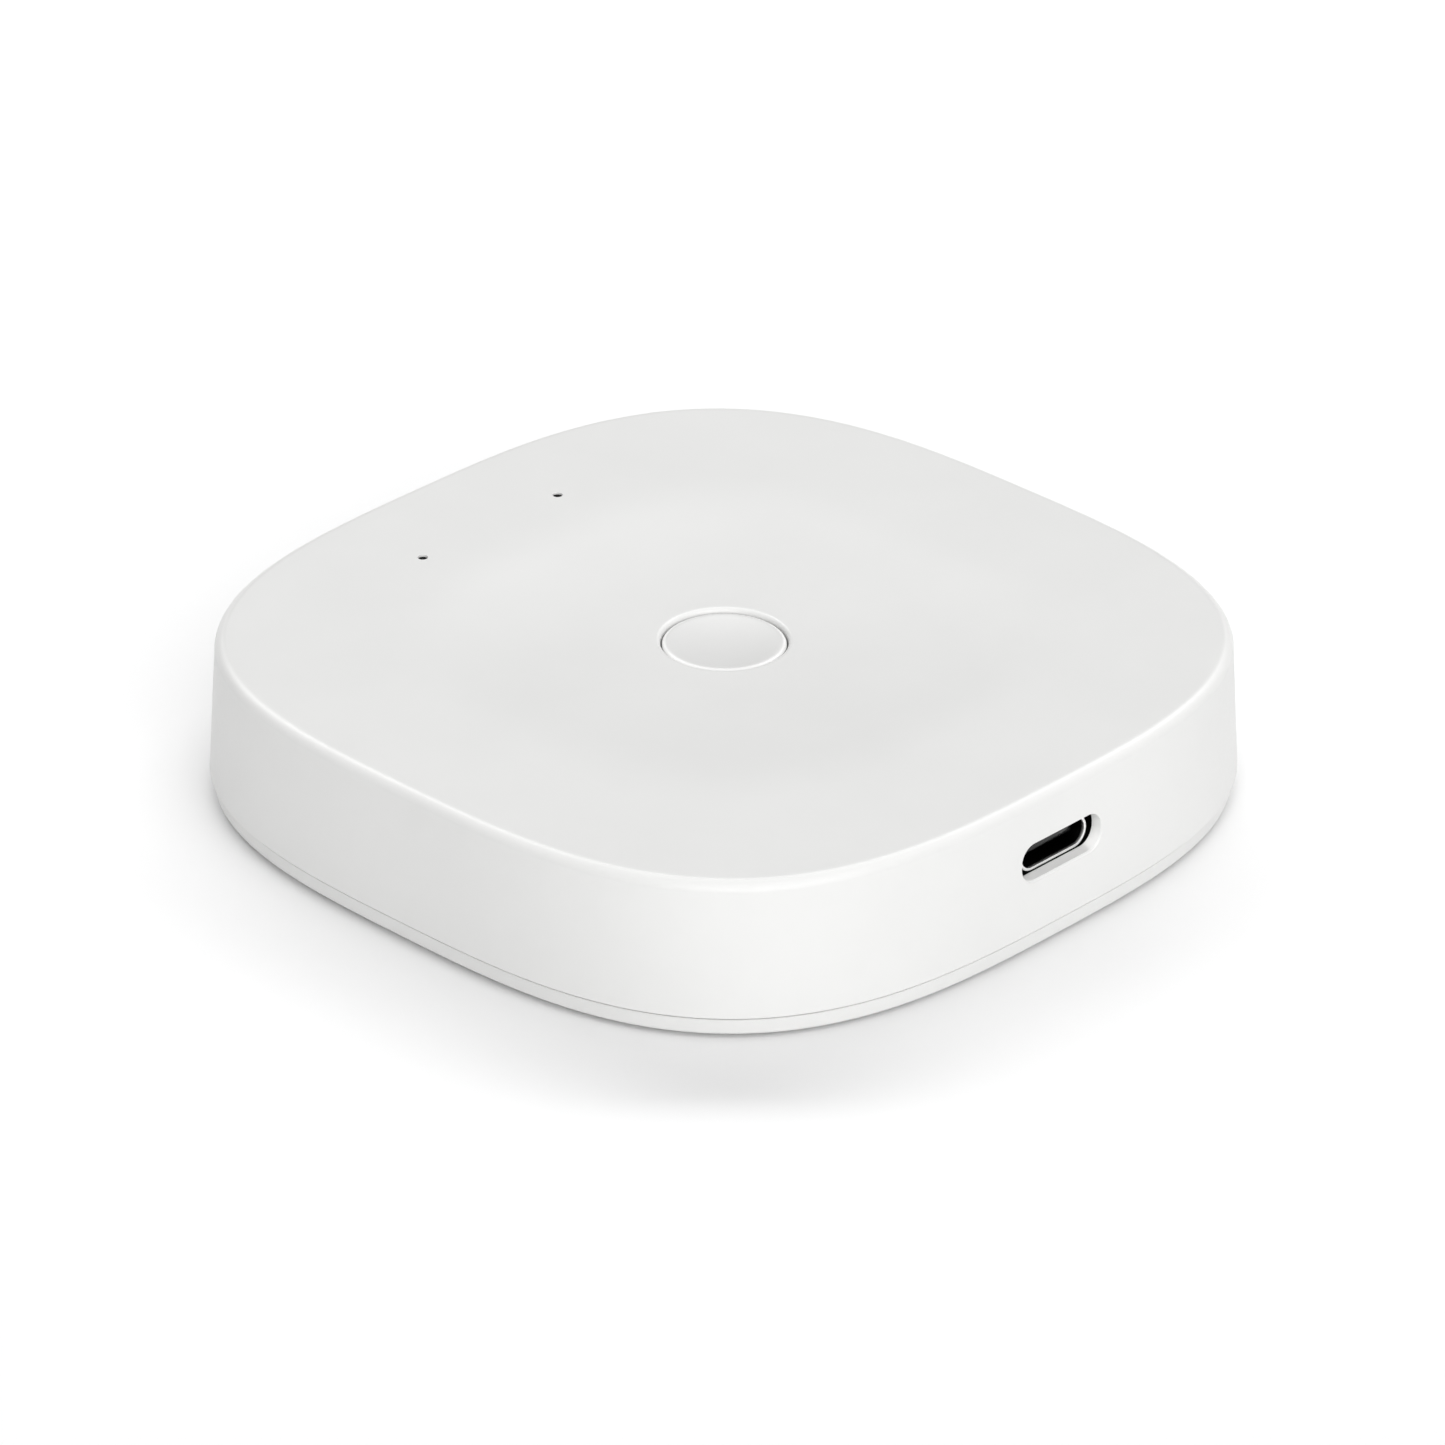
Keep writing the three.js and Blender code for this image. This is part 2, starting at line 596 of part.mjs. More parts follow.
// The insulator closes the back of the shell and carries the contact tongue on a thicker root.
function receptacleTongue() {
  const blockWidth = CAVITY_WIDTH - 2 * INSULATOR_CLEARANCE;
  const blockHeight = CAVITY_HEIGHT - 2 * INSULATOR_CLEARANCE;
  const front = RECEPTACLE_Y + SHELL_LENGTH - INSULATOR_LENGTH - 0.1;
  const tip = RECEPTACLE_Y + TONGUE_SETBACK;
  const length = front + SINK - tip;
  const block = runBack(stadium(blockWidth, blockHeight), INSULATOR_LENGTH, front, INLET_Z);
  const tongue = box(
    TONGUE_WIDTH, length, TONGUE_THICKNESS, 0, tip + length / 2, INLET_Z - TONGUE_THICKNESS / 2,
  );
  const rootHeight = 1.3;
  const root = box(TONGUE_WIDTH + 0.4, 1.6, rootHeight, 0, front - 0.3, INLET_Z - rootHeight / 2);
  return joined([block, tongue, root]);
}

part('usb_c_shell', receptacleShell(), steel);
part('usb_c_tongue', receptacleTongue(), blackPlastic);

// ---- Main board: the case outline with notches for the bosses, screw holes and slots for the legs ----
function mainBoard() {
  const plate = squircle([
    [0, BOARD_BOTTOM],
    [BOARD_HALF, BOARD_BOTTOM],
    [BOARD_HALF, BOARD_TOP],
    [0, BOARD_TOP],
  ]);
  const below = BOARD_BOTTOM - PAST;
  const above = BOARD_TOP + PAST;
  const notches = CORNERS.map(({ x, y }) => {
    const notchX = Math.sign(x) * BOARD_NOTCH.offset;
    const notchY = Math.sign(y) * BOARD_NOTCH.offset;
    return cylinder(BOARD_NOTCH.radius, below, above, ROUND_STEPS, notchX, notchY);
  });
  const holes = BOARD_SCREW_PLACES.map(
    ({ x, y }) => cylinder(BOARD_POST.hole, below, above, SMALL_STEPS, x, y),
  );
  const slotWidth = SHELL_LEG.thickness + 2 * SHELL_LEG.slotClearance;
  const slotDepth = SHELL_LEG.depth + 2 * SHELL_LEG.slotClearance;
  const slots = LEG_PLACES.map(({ x, y }) => box(slotWidth, slotDepth, above - below, x, y, below));
  return plate.subtract(joined([...notches, ...holes, ...slots]));
}

part('main_board', mainBoard(), boardBlack);

// ---- Indicator lights ----

// One smoke-tinted moulding: a bar held by two pins, and a tapered post over each light, its tip in the hole.
function lightGuide() {
  const barTop = CEILING - 0.6;
  const barBottom = barTop - 1.2;
  const postBottom = BOARD_TOP + 1.05;
  const tipTop = TOP - GUIDE_TIP_DEPTH;
  const outline = roundedRectangle(LIGHT_SPACING + 4, 4, 1.5);
  const bar = raised(outline, barTop - barBottom, 0, LIGHT_Y, barBottom, 2);
  const posts = LIGHT_XS.map((x) => turned([
    [0, postBottom],
    [1.2, postBottom],
    [1.5, barTop],
    [GUIDE_TIP_RADIUS, barTop],
    [GUIDE_TIP_RADIUS, tipTop],
    [0, tipTop],
  ], SMALL_STEPS, x, LIGHT_Y));
  const pinHoles = [-GUIDE_PIN_X, GUIDE_PIN_X].map(
    (x) => cylinder(GUIDE_PIN_RADIUS + 0.25, barBottom - PAST, barTop + PAST, SMALL_STEPS, x, LIGHT_Y),
  );
  return joined([bar, ...posts]).subtract(joined(pinHoles));
}

function statusLed(x) {
  return box(1.6, 0.8, 0.6, x, LIGHT_Y, BOARD_TOP);
}

part('light_guide', lightGuide(), smokedPlastic);
part('status_led_left', statusLed(LIGHT_XS[0]), ledWhite);
part('status_led_right', statusLed(LIGHT_XS[1]), ledWhite);

// ---- Radio modules: a small board with a chip under an open-bottomed sheet-metal can ----
const MODULE_BOARD_THICKNESS = 0.8;
const CAN_SHEET = 0.25;
const CAN_MARGIN = 0.8;

function radioModule(name, x, y, width, depth, canDepth, canHeight) {
  const boardTop = BOARD_TOP + MODULE_BOARD_THICKNESS;
  const canWidth = width - 2 * CAN_MARGIN;
  const canY = y - (depth - canDepth) / 2 + CAN_MARGIN;
  const insideWidth = canWidth - 2 * CAN_SHEET;
  const insideDepth = canDepth - 2 * CAN_SHEET;
  const outside = raised(roundedRectangle(canWidth, canDepth, 0.6), canHeight, x, canY, boardTop, 2);
  const inside = box(insideWidth, insideDepth, canHeight, x, canY, boardTop - CAN_SHEET);
  part(`${name}_module_board`, box(width, depth, MODULE_BOARD_THICKNESS, x, y, BOARD_TOP), boardBlack);
  part(`${name}_module_shield`, outside.subtract(inside), zincSteel);
  part(`${name}_radio_chip`, box(6, 6, 0.9, x, canY, boardTop), chipBlack);
}

radioModule('wifi', -25, 9, 16, 22, 17, 2.2);
radioModule('mesh', 25, 9, 15, 18, 14, 2);

// ---- Antennas: bent strips that stand on the board along its left and right edges ----
const ANTENNA = { x: 35.8, length: 18, height: 4, width: 3, sheet: 0.4, feed: 3.2 };

// Seen from the side the strip is a long arm on two legs, one at its end and one at the feed.
function antenna(x) {
  const { length, height, width, sheet, feed } = ANTENNA;
  const under = height - sheet;
  const side = new THREE.Shape([
    [0, 0], [sheet, 0], [sheet, under],
    [feed, under], [feed, 0], [feed + sheet, 0], [feed + sheet, under],
    [length, under], [length, height], [0, height],
  ].map(([along, up]) => new THREE.Vector2(along, up)));
  const strip = new THREE.ExtrudeGeometry(side, { depth: width, bevelEnabled: false });
  strip.rotateX(Math.PI / 2).rotateZ(Math.PI / 2);
  return solid(strip.translate(x - width / 2, -length / 2, BOARD_TOP));
}

part('wifi_antenna', antenna(-ANTENNA.x), aluminium);
part('mesh_antenna', antenna(ANTENNA.x), aluminium);

// ---- Chips and power supply ----
part('processor_chip', box(13, 13, 1.2, -15, -13, BOARD_TOP), chipBlack);
part('memory_chip', box(8, 11, 1, -28, -12, BOARD_TOP), chipBlack);
part('flash_chip', box(6, 5, 0.8, -12, -25, BOARD_TOP), chipBlack);
part('clock_crystal', box(3.2, 2.5, 0.8, -15, -2, BOARD_TOP), aluminium);
part('surge_protector', box(2.9, 1.6, 1.1, 5.5, -29.5, BOARD_TOP), chipBlack);
part('power_regulator', box(4, 4, 0.9, 13, -22, BOARD_TOP), chipBlack);
part('input_capacitor', box(3.2, 1.6, 1.6, 8, -25.5, BOARD_TOP), ceramicTan);
part('output_capacitor', box(3.2, 1.6, 1.6, 13, -17, BOARD_TOP), ceramicTan);
part('power_choke', raised(roundedRectangle(6.6, 6.6, 1.6), 3, 21, -20, BOARD_TOP, 2), chipBlack);

// A small can with a rolled groove near its foot.
function bulkCapacitor(x, y) {
  const radius = 3.15;
  const height = 4.4;
  const groove = BOARD_TOP + 1.3;
  const roll = 0.3;
  return turned([
    [0, BOARD_TOP],
    [radius, BOARD_TOP],
    [radius, groove - roll],
    [radius - roll, groove],
    [radius, groove + roll],
    [radius, BOARD_TOP + height - roll],
    [radius - roll, BOARD_TOP + height],
    [0, BOARD_TOP + height],
  ], ROUND_STEPS, x, y);
}

part('bulk_capacitor', bulkCapacitor(24, -8), aluminium);

export default hub;
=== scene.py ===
"""Looks of the smart home hub: fine case, button, inlet and feet, and every material, on a pale floor."""

import json
import math

import bmesh
import bpy
from mathutils import Matrix, Vector


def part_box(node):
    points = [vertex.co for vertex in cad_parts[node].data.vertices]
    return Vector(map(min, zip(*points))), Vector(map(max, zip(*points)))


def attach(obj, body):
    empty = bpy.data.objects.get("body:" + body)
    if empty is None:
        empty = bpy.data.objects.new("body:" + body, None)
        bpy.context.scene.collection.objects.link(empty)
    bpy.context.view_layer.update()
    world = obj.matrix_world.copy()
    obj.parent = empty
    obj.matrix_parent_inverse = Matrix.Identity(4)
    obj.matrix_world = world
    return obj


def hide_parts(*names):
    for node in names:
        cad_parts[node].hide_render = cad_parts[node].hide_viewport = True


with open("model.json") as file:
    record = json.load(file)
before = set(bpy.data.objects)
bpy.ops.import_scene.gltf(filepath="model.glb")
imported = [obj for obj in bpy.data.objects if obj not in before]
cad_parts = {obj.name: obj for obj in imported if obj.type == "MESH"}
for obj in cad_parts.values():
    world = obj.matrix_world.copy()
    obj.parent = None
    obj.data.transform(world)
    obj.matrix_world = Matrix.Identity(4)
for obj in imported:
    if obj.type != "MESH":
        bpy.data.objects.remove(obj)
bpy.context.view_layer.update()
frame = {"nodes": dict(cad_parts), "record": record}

MM = 0.001

# ---- Sizes that the frame gives ----
TOP_LOW, TOP_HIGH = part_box("top_shell")
BASE_LOW, BASE_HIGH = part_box("base_shell")
BUTTON_LOW, BUTTON_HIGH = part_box("button_cap")
SHELL_LOW, SHELL_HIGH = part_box("usb_c_shell")
TONGUE_LOW, TONGUE_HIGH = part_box("usb_c_tongue")
LABEL_LOW, LABEL_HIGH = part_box("rating_label")
BOARD_LOW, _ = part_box("main_board")
GUIDE_LOW, GUIDE_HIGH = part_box("light_guide")

HALF = TOP_HIGH[0]
SEAM = TOP_LOW[2]
TOP = TOP_HIGH[2]
UNDERSIDE = BASE_LOW[2]
BASE_TOP_HALF = BASE_HIGH[0]
LIP_TOP = UNDERSIDE + 4.0 * MM
INLET_Z = (TONGUE_LOW[2] + TONGUE_HIGH[2]) / 2
INLET_FRONT = SHELL_LOW[1]
LIGHT_Y = (GUIDE_LOW[1] + GUIDE_HIGH[1]) / 2

# ---- Sizes of the case that the boxes don't give ----
OUTLINE_EXPONENT = 3.06
WALL = 1.6 * MM
TOP_PLATE = 1.8 * MM
FLOOR = 1.8 * MM
WALL_LEAN = 0.65 * MM
TOP_EDGE_RADIUS = 1.06 * MM
SEAM_GAP = 0.2 * MM
BASE_LEAN = 0.15 * MM
BASE_EDGE_RADIUS = 0.4 * MM
LIP_CLEARANCE = 0.3 * MM
LIP_THICKNESS = 1.2 * MM
DISH_HALF = 28.5 * MM
DISH_SHOULDER = 23 * MM
DISH_FLAT = 7.4 * MM
DISH_DEPTH = 0.78 * MM
HOLE_RADIUS = 5.95 * MM
HOLE_FILLET = 0.45 * MM
BUTTON_RADIUS = 5.81 * MM
BUTTON_RIM_WIDTH = 0.6 * MM
BUTTON_RIM_DROP = 0.35 * MM
BUTTON_HOLLOW = 0.3 * MM
LIGHT_X = 9 * MM
LIGHT_HOLE_RADIUS = 0.48 * MM
WINDOW_WIDTH = 10.6 * MM
WINDOW_HEIGHT = 3.65 * MM
WINDOW_CORNER = 1.65 * MM
WINDOW_WALL = 1.15 * MM  # the wall is thinned behind the window
WINDOW_RELIEF = 0.8 * MM
CORNER_OFFSET = 27.5 * MM
FOOT_RADIUS = 4.5 * MM
FOOT_CLEARANCE = 0.3 * MM
FOOT_WELL_TOP = UNDERSIDE + 1.0 * MM
FLOOR_TOP = UNDERSIDE + FLOOR
BOSS_SPLIT = UNDERSIDE + 5.4 * MM  # where the bosses of the base meet those of the upper casing
SCREW_SHOULDER = FOOT_WELL_TOP + 1.7 * MM
TOP_BOSS = (1.1 * MM, 3.2 * MM)  # hole and outside radius
BASE_BOSS_WELL = (2.5 * MM, 4.2 * MM)
BASE_BOSS = (1.4 * MM, 4.2 * MM)
BOARD_POST = (0.95 * MM, 2.8 * MM)
COLLAR = (7.2 * MM, 8.4 * MM)
COLLAR_HEIGHT = 1.7 * MM
PLATE_SINK = 0.5 * MM  # how far the bosses and the collar run into the top plate
FLOOR_SINK = 0.3 * MM  # how far the bosses and the posts run into the floor

# ---- Sizes of the button below its rim ----
STEM_RADIUS = 1.7 * MM
STEM_DRAFT = 0.2 * MM
SKIRT_RADIUS = 4.9 * MM
FLANGE_RADIUS = 6.85 * MM
FLANGE_THICKNESS = 0.8 * MM
FLANGE_GAP = 0.1 * MM
KEY_HALF_WIDTH = 0.6 * MM
KEY_ROOT = -6 * MM  # how near the axis the key begins

# ---- Sizes of the inlet ----
SHELL_HEIGHT = 3.2 * MM
SHELL_SHEET = 0.3 * MM
SHELL_FLAT_HALF = (SHELL_HIGH[0] - SHELL_LOW[0] - SHELL_HEIGHT) / 2
LEG_OFFSETS = (3.3 * MM, 6.3 * MM)
LEG_SHEET = 0.35 * MM
LEG_HALF_DEPTH = 0.55 * MM
TONGUE_WIDTH = 6.69 * MM
TONGUE_THICKNESS = 0.7 * MM
CONTACTS = 12
CONTACT_PITCH = 0.5 * MM
CONTACT_HALF_WIDTH = 0.12 * MM
CONTACT_PROUD = 0.015 * MM

FEET = ("front_left", "front_right", "rear_left", "rear_right")
AROUND = 288  # steps round the case
CASE_SHARP = 30  # degrees over which an edge of the case stays crisp
CORNERS = [(sx * CORNER_OFFSET, sy * CORNER_OFFSET) for sx in (-1, 1) for sy in (-1, 1)]


# ---- Mesh helpers ----


def outline_scale(angle):
    """Radius of the unit superellipse in the direction of an angle."""
    c = abs(math.cos(angle)) ** OUTLINE_EXPONENT
    s = abs(math.sin(angle)) ** OUTLINE_EXPONENT
    return (c + s) ** (-1 / OUTLINE_EXPONENT)


def arc(x, z, radius, start, end, steps):
    """Points of an arc in a profile, from one angle to another, in degrees."""
    angles = [math.radians(start + (end - start) * i / steps) for i in range(steps + 1)]
    return [(x + radius * math.cos(a), z + radius * math.sin(a)) for a in angles]


def new_object(name, mesh, sharp=40):
    """A smooth-shaded object whose edges over the sharp angle stay crisp."""
    obj = bpy.data.objects.new(name, mesh)
    bpy.context.scene.collection.objects.link(obj)
    mark_sharp(mesh, sharp)
    return obj


def mark_sharp(mesh, sharp):
    """Shades a mesh smooth and keeps its edges over the sharp angle crisp."""
    mesh.shade_smooth()
    bm = bmesh.new()
    bm.from_mesh(mesh)
    limit = math.radians(sharp)
    for edge in bm.edges:
        edge.smooth = len(edge.link_faces) == 2 and edge.calc_face_angle(0) < limit
    bm.to_mesh(mesh)
    bm.free()


def even_shading(obj):
    """Lets the largest face at each corner set the shading, so flat areas stay flat up to their edges."""
    modifier = obj.modifiers.new("even_shading", "WEIGHTED_NORMAL")
    modifier.mode = "FACE_AREA"
    modifier.keep_sharp = True


def turned(name, profile, steps, centre=(0, 0), ring=False, sharp=40):
    """Turns a profile of (radius, z) or (half size, z, squareness) points about a vertical axis.

    Squareness 0 makes a round level and 1 a level that follows the case outline. A ring's profile
    closes on itself; any other starts and ends on the axis.
    """
    bm = bmesh.new()
    rows = []
    for point in profile:
        half, z = point[0], point[1]
        square = point[2] if len(point) > 2 else 0
        if half < 1e-9:
            rows.append([bm.verts.new((centre[0], centre[1], z))])
            continue
        row = []
        for i in range(steps):
            angle = 2 * math.pi * i / steps
            reach = half * (1 + square * (outline_scale(angle) - 1))
            place = (centre[0] + reach * math.cos(angle), centre[1] + reach * math.sin(angle), z)
            row.append(bm.verts.new(place))
        rows.append(row)
    pairs = list(zip(rows, rows[1:]))
    if ring:
        pairs.append((rows[-1], rows[0]))
    for low, high in pairs:
        for i in range(steps):
            j = (i + 1) % steps
            corners = [low[i % len(low)], low[j % len(low)], high[j % len(high)], high[i % len(high)]]
            unique = list(dict.fromkeys(corners))
            if len(unique) > 2:
                bm.faces.new(unique)
    bmesh.ops.recalc_face_normals(bm, faces=bm.faces)
    mesh = bpy.data.meshes.new(name)
    bm.to_mesh(mesh)
    bm.free()
    return new_object(name, mesh, sharp)


def rounded_outline(width, height, corner, steps):
    """Points of a rounded rectangle round the origin, counter-clockwise."""
    points = []
    for cx, cy, start in ((1, -1, -90), (1, 1, 0), (-1, 1, 90), (-1, -1, 180)):
        x = cx * (width / 2 - corner)
        y = cy * (height / 2 - corner)
        points += arc(x, y, corner, start, start + 90, steps)
    return points


def stadium(width, height, steps):
    """A rounded outline whose ends are half circles, kept a hair short of touching."""
    return rounded_outline(width, height, height / 2 - 1e-6, steps)


def skinned(name, rings, loop=False):
    """Joins rings of equally many points into one surface, with flat ends, or closed in a loop."""
    bm = bmesh.new()
    rows = [[bm.verts.new(point) for point in ring] for ring in rings]
    pairs = list(zip(rows, rows[1:]))
    if loop:
        pairs.append((rows[-1], rows[0]))
    count = len(rows[0])
    for low, high in pairs:
        for i in range(count):
            j = (i + 1) % count
            bm.faces.new((low[i], low[j], high[j], high[i]))
    if not loop:
        bm.faces.new(list(reversed(rows[0])))
        bm.faces.new(rows[-1])
    bmesh.ops.recalc_face_normals(bm, faces=bm.faces)
    mesh = bpy.data.meshes.new(name)
    bm.to_mesh(mesh)
    bm.free()
    return new_object(name, mesh)


def upright(points, y, z):
    """A ring of outline points, set upright across the Y axis at y with its middle at height z."""
    return [(x, y, z + h) for x, h in points]


def level(points, z):
    """A ring of outline points, laid flat at height z."""
    return [(x, y, z) for x, y in points]


def box(name, low, high, edge):
    """A box between two corners with rounded edges."""
    bm = bmesh.new()
    bmesh.ops.create_cube(bm, size=1)
    size = Vector(high) - Vector(low)
    middle = (Vector(high) + Vector(low)) / 2
    bmesh.ops.scale(bm, vec=size, verts=bm.verts)
    bmesh.ops.translate(bm, vec=middle, verts=bm.verts)
    bmesh.ops.bevel(bm, geom=bm.edges[:], offset=edge, segments=2, affect="EDGES", profile=0.5)
    mesh = bpy.data.meshes.new(name)
    bm.to_mesh(mesh)
    bm.free()
    return new_object(name, mesh)


def merged(name, objects):
    """Joins several objects into the first one's mesh and removes the others."""
    bm = bmesh.new()
    for obj in objects:
        bm.from_mesh(obj.data)
    mesh = bpy.data.meshes.new(name)
    bm.to_mesh(mesh)
    bm.free()
    for obj in objects:
        bpy.data.objects.remove(obj)
    obj = bpy.data.objects.new(name, mesh)
    bpy.context.scene.collection.objects.link(obj)
    return obj


def cut(obj, cutter):
    """Cuts one closed object out of another and removes the cutter."""
    modifier = obj.modifiers.new("cut", "BOOLEAN")
    modifier.operation = "DIFFERENCE"
    modifier.solver = "EXACT"
    modifier.object = cutter
    depsgraph = bpy.context.evaluated_depsgraph_get()
    mesh = bpy.data.meshes.new_from_object(obj.evaluated_get(depsgraph))
    obj.modifiers.remove(modifier)
    obj.data = mesh
    bpy.data.objects.remove(cutter)
    mark_sharp(mesh, CASE_SHARP)


# ---- Materials ----


class Surface:
    """A material with a Principled shader and short helpers to build its procedural detail."""

    def __init__(self, name, colour, roughness, metallic=0.0):
        self.material = bpy.data.materials.new(name)
        self.material.use_nodes = True
        self.nodes = self.material.node_tree.nodes
        self.links = self.material.node_tree.links
        self.shader = self.nodes["Principled BSDF"]
        self.shader.inputs["Base Color"].default_value = (*colour, 1)
        self.shader.inputs["Roughness"].default_value = roughness
        self.shader.inputs["Metallic"].default_value = metallic
        self.place = self.nodes.new("ShaderNodeTexCoord").outputs["Object"]
        self.height = None

    def set(self, socket, value):
        """Sets one input of the shader."""
        self.shader.inputs[socket].default_value = value

    def split(self, vector):
        """The three parts of a vector."""
        parts = self.nodes.new("ShaderNodeSeparateXYZ")
        self.links.new(vector, parts.inputs["Vector"])
        return parts.outputs[:]

    def math(self, operation, *values):
        """The result of one operation on sockets or numbers."""
        node = self.nodes.new("ShaderNodeMath")
        node.operation = operation
        for socket, value in zip(node.inputs, values):
            if isinstance(value, (int, float)):
                socket.default_value = value
            else:
                self.links.new(value, socket)
        return node.outputs["Value"]

    def noise(self, size, detail=2.0, stretch=(1, 1, 1)):
        """Noise whose features are about size metres across."""
        scaled = self.nodes.new("ShaderNodeMapping")
        scaled.inputs["Scale"].default_value = stretch
        self.links.new(self.place, scaled.inputs["Vector"])
        noise = self.nodes.new("ShaderNodeTexNoise")
        noise.inputs["Scale"].default_value = 1 / size
        noise.inputs["Detail"].default_value = detail
        self.links.new(scaled.outputs["Vector"], noise.inputs["Vector"])
        return noise.outputs["Fac"]

    def ranged(self, value, low, high, start=0.3, end=0.7):
        """Maps a value from start..end to low..high."""
        ranged = self.nodes.new("ShaderNodeMapRange")
        ranged.inputs["From Min"].default_value = start
        ranged.inputs["From Max"].default_value = end
        ranged.inputs["To Min"].default_value = low
        ranged.inputs["To Max"].default_value = high
        self.links.new(value, ranged.inputs["Value"])
        return ranged.outputs["Result"]

    def colour_by(self, value, first, second, start=0.3, end=0.7):
        """Colours the surface from first to second as the value goes from start to end."""
        ramp = self.nodes.new("ShaderNodeValToRGB")
        ramp.color_ramp.elements[0].position = start
        ramp.color_ramp.elements[0].color = (*first, 1)
        ramp.color_ramp.elements[1].position = end
        ramp.color_ramp.elements[1].color = (*second, 1)
        self.links.new(value, ramp.inputs["Fac"])
        self.links.new(ramp.outputs["Color"], self.shader.inputs["Base Color"])

    def paint_edge_highlight(self, gain):
        """Paints a highlight into the colour of the rounded edges, where the surface leans between level and
        upright.
        """
        normal_z = self.split(self.nodes.new("ShaderNodeNewGeometry").outputs["Normal"])[2]
        leaning = self.ranged(normal_z, 0, 1, *LEANING)
        not_level = self.ranged(normal_z, 1, 0, *NEARLY_LEVEL)
        self.brighten(self.ranged(self.math("MULTIPLY", leaning, not_level), 1, gain, 0, 1))

    def paint_jamb_light(self, gain):
        """Paints light into the colour of the thin wall round the window, on the sides of the opening, to
        lift the shade in the recess.
        """
        x, y, z = self.split(self.place)
        normal_y = self.split(self.nodes.new("ShaderNodeNewGeometry").outputs["Normal"])[1]
        inner_face = WALL - HALF
        half_width = WINDOW_WIDTH / 2 + JAMB_MARGIN
        half_height = WINDOW_HEIGHT / 2 + JAMB_MARGIN
        share = self.ranged(normal_y, 0, 1, *NOT_OUTWARD)
        near_wall = self.ranged(y, 1, 0, inner_face, inner_face + JAMB_FADE)
        in_width = self.ranged(self.math("ABSOLUTE", x), 1, 0, half_width, half_width + JAMB_FADE)
        height = self.math("ABSOLUTE", self.math("SUBTRACT", z, INLET_Z))
        in_height = self.ranged(height, 1, 0, half_height, half_height + JAMB_FADE)
        for part in (near_wall, in_width, in_height):
            share = self.math("MULTIPLY", share, part)
        self.brighten(self.ranged(share, 1, gain, 0, 1))

    def brighten(self, factor):
        """Multiplies the surface's colour by a factor that varies over it."""
        brighter = self.nodes.new("ShaderNodeVectorMath")
        brighter.operation = "SCALE"
        colour = self.shader.inputs["Base Color"].links[0].from_socket
        self.links.new(colour, brighter.inputs[0])
        self.links.new(factor, brighter.inputs["Scale"])
        self.links.new(brighter.outputs["Vector"], self.shader.inputs["Base Color"])

    def roughness_by(self, value, low, high):
        """Varies the roughness with a value."""
        self.links.new(self.ranged(value, low, high), self.shader.inputs["Roughness"])

    def bump(self, value, depth):
        """Adds relief of a depth in metres on top of any relief made before."""
        bump = self.nodes.new("ShaderNodeBump")
        bump.inputs["Strength"].default_value = 1.0
        bump.inputs["Distance"].default_value = depth
        self.links.new(value, bump.inputs["Height"])
        if self.height is not None:
            self.links.new(self.height, bump.inputs["Normal"])
        self.height = bump.outputs["Normal"]
        self.links.new(self.height, self.shader.inputs["Normal"])


# Painted highlight: how much the colour of the rounded edges is lightened, on the case and on the button.
EDGE_HIGHLIGHT_GAIN = 1.12
BUTTON_EDGE_HIGHLIGHT_GAIN = 1.28
LEANING = (0.2, 0.75)  # upward part of the normal, from upright to leaning back
NEARLY_LEVEL = (0.94, 0.99)
NOT_OUTWARD = (-0.7, -0.2)  # the wall with the window faces -Y
# Painted light: how much the colour round the window opening is lightened against the shade in the recess.
JAMB_LIGHT_GAIN = 1.16
JAMB_MARGIN = 0.7 * MM
JAMB_FADE = 0.15 * MM
ROLLED = (1, 12, 1)  # stretch of the lines in rolled sheet
LINE_SIZE = 0.08 * MM
LINE_DEPTH = 0.0012 * MM


def tinted(colour, factor):
    """A lighter or darker version of a colour."""
    return tuple(channel * factor for channel in colour)


def white_plastic(name, colour, roughness, edge_highlight_gain):
    """Moulded white plastic: a very fine spark-eroded grain, faint flow clouds and a satin gloss, with a
    painted highlight on its rounded edges and painted light round the window opening.
    """
    surface = Surface(name, colour, roughness)
    clouds = surface.noise(14 * MM, 3)
    grain = surface.noise(0.16 * MM, 2)
    surface.colour_by(clouds, tinted(colour, 0.985), tinted(colour, 1.01))
    # Painted highlight: lightens the colour of the rounded edges.
    surface.paint_edge_highlight(edge_highlight_gain)
    # Painted light: lightens the colour of the sides of the window opening, where shade falls.
    surface.paint_jamb_light(JAMB_LIGHT_GAIN)
    surface.roughness_by(surface.noise(0.5 * MM, 3), roughness - 0.03, roughness + 0.05)
    surface.bump(grain, 0.0035 * MM)
    surface.bump(surface.noise(6 * MM, 1), 0.002 * MM)
    surface.set("Specular IOR Level", 0.5)
    return surface.material


def moulded(name, colour, roughness, grain_size=0.12 * MM, grain_depth=0.004 * MM, shine=0.5, mottle=0.2):
    """Any other moulded plastic, resin or rubber, with its grain."""
    surface = Surface(name, colour, roughness)
    surface.colour_by(surface.noise(1.2 * MM, 3), tinted(colour, 1 - mottle), tinted(colour, 1 + mottle))
    surface.roughness_by(surface.noise(0.6 * MM, 3), roughness - 0.06, roughness + 0.08)
    surface.bump(surface.noise(grain_size, 3), grain_depth)
    surface.set("Specular IOR Level", shine)
    return surface.material


def sheet_metal(name, colour, roughness, stretch=ROLLED):
    """Rolled or drawn metal, with fine lines along its rolling direction and slight stains."""
    surface = Surface(name, colour, roughness, 1.0)
    lines = surface.noise(LINE_SIZE, 3, stretch)
    surface.colour_by(surface.noise(2.5 * MM, 4), tinted(colour, 0.86), tinted(colour, 1.06))
    surface.roughness_by(lines, roughness - 0.08, roughness + 0.12)
    surface.bump(lines, LINE_DEPTH)
    return surface.material


